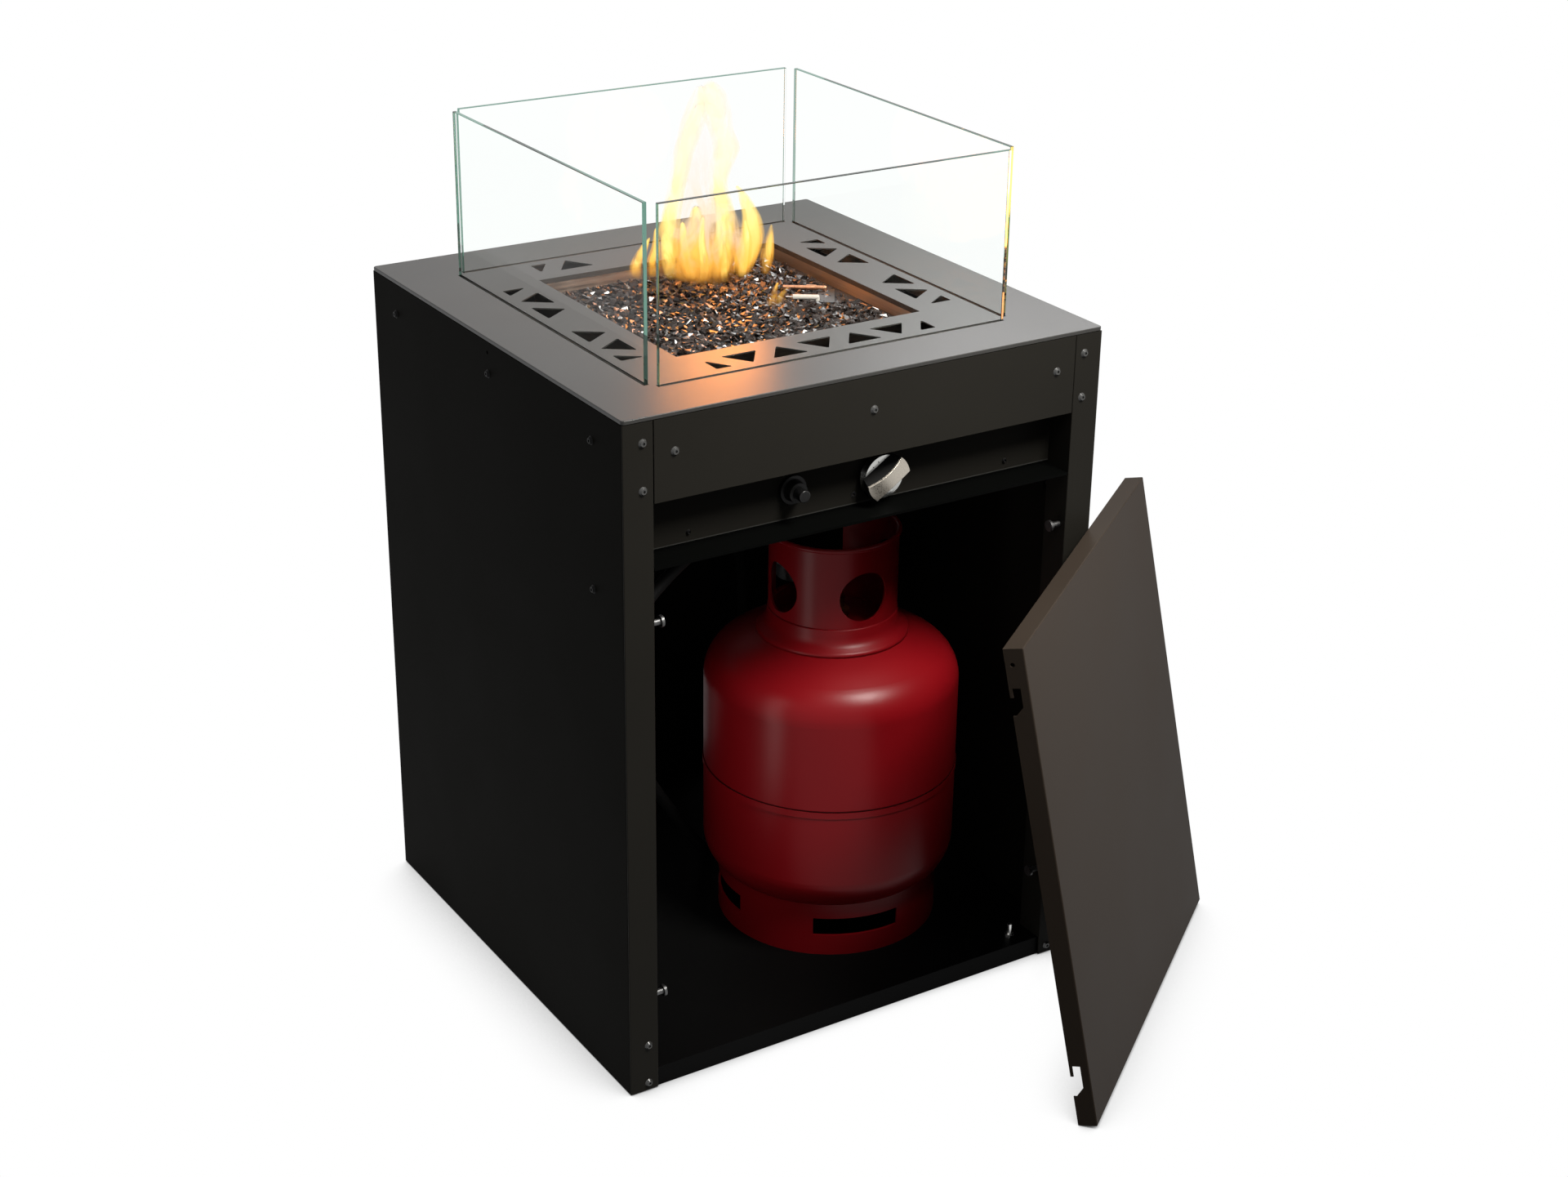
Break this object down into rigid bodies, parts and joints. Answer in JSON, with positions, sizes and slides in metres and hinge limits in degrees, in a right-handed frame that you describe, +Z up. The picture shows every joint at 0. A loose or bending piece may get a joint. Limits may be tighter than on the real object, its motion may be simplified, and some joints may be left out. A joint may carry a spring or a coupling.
{
  "type": "gas fire pit table",
  "caption": "Square steel fire pit table with a glass flame guard, a control panel behind an apron, a lift-off door and a gas cylinder bay.",
  "frame": {"origin": "centre of the cabinet's footprint, on the floor at the base pan's lower lip", "axes": "+X right along the front, +Y to the back, +Z up"},
  "size_m": [0.8175, 0.918, 0.986],
  "materials": {
    "black_coat": "satin powder coat",
    "top_coat": "satin powder coat",
    "door_coat": "satin powder coat",
    "black_screw": "black oxide",
    "zinc": "zinc plated",
    "stainless": "brushed",
    "clear_glass": "polished",
    "fire_glass": "crushed, reflective",
    "rubber": "matte",
    "brass": "turned",
    "copper": "drawn",
    "ceramic": "glazed",
    "lead_cover": "matte",
    "chrome": "polished",
    "black_plastic": "satin",
    "cap_plastic": "satin",
    "silver": "satin",
    "grey_cast": "cast",
    "red_paint": "semi-gloss"
  },
  "bodies": {
    "cabinet": {"base_pan": "black_coat", "left_panel": "black_coat", "right_panel": "black_coat", "left_post": "black_coat", "right_post": "black_coat", "back_panel": "black_coat", "apron": "black_coat", "control_panel": "black_coat", "top_frame": "black_coat", "top_spacers": "black_coat", "top_plate": "top_coat", "post_screws": "black_screw", "apron_screws": "black_screw", "side_screws": "black_screw", "back_screws": "black_screw", "panel_screws": "black_screw", "door_pins": "zinc", "base_stud": "zinc", "shield_posts": "zinc", "mixer_tube": "zinc", "panel_eyelet": "zinc", "hose_ferrules": "zinc", "spark_tip": "zinc", "burner_tray": "stainless", "burner_ring": "stainless", "heat_shield": "stainless", "pane_channels": "stainless", "pilot_bracket": "stainless", "glass_bed": "fire_glass", "pane_pads": "rubber", "gas_hose": "rubber", "gas_valve": "brass", "gas_jet": "brass", "regulator_nut": "brass", "feed_pipe": "copper", "flame_sensor": "copper", "spark_insulator": "ceramic", "spark_lead": "lead_cover", "sensor_lead": "lead_cover", "igniter_battery": "black_plastic", "igniter_bezel": "black_plastic", "regulator": "grey_cast"},
    "plunger": {"valve_plunger": "brass"},
    "knob": {"knob_stem": "brass", "knob_skirt": "chrome", "knob_grip": "black_plastic", "knob_face": "silver"},
    "igniter_button": {"igniter_cap": "cap_plastic"},
    "door": {"door_panel": "door_coat"},
    "front_pane": {"pane_front": "clear_glass"},
    "right_pane": {"pane_right": "clear_glass"},
    "rear_pane": {"pane_back": "clear_glass"},
    "left_pane": {"pane_left": "clear_glass"},
    "cylinder": {"tank_shell": "red_paint", "tank_foot": "red_paint", "tank_guard": "red_paint", "tank_valve": "brass"},
    "handwheel": {"valve_wheel": "black_plastic"}
  },
  "joints": [
    {"name": "door_lift", "type": "slide", "parent": "cabinet", "child": "door", "axis": [0.5879, -0.7838, 0.2], "range_m": [0, 0.3]},
    {"name": "front_pane_lift", "type": "slide", "parent": "cabinet", "child": "front_pane", "axis": [0, 0, 1], "range_m": [0, 0.22]},
    {"name": "right_pane_lift", "type": "slide", "parent": "cabinet", "child": "right_pane", "axis": [0, 0, 1], "range_m": [0, 0.22]},
    {"name": "rear_pane_lift", "type": "slide", "parent": "cabinet", "child": "rear_pane", "axis": [0, 0, 1], "range_m": [0, 0.22]},
    {"name": "left_pane_lift", "type": "slide", "parent": "cabinet", "child": "left_pane", "axis": [0, 0, 1], "range_m": [0, 0.22]},
    {"name": "cylinder_out", "type": "slide", "parent": "cabinet", "child": "cylinder", "axis": [-0.45, -0.893, 0], "range_m": [0, 0.42]},
    {"name": "handwheel_turn", "type": "hinge", "parent": "cylinder", "child": "handwheel", "pos_m": [0.0957, -0.0859, 0.47], "axis": [0, 0, 1], "range_deg": [0, 540]},
    {"name": "plunger_push", "type": "slide", "parent": "cabinet", "child": "plunger", "axis": [0, 1, 0], "range_m": [0, 0.004], "stiffness_N_per_m": 1200, "springref_m": -0.003},
    {"name": "knob_turn", "type": "hinge", "parent": "plunger", "child": "knob", "pos_m": [0.034, -0.28, 0.662], "axis": [0, -1, 0], "range_deg": [-135, 90]},
    {"name": "igniter_push", "type": "slide", "parent": "cabinet", "child": "igniter_button", "axis": [0, 1, 0], "range_m": [0, 0.004], "stiffness_N_per_m": 1000, "springref_m": -0.003}
  ]
}
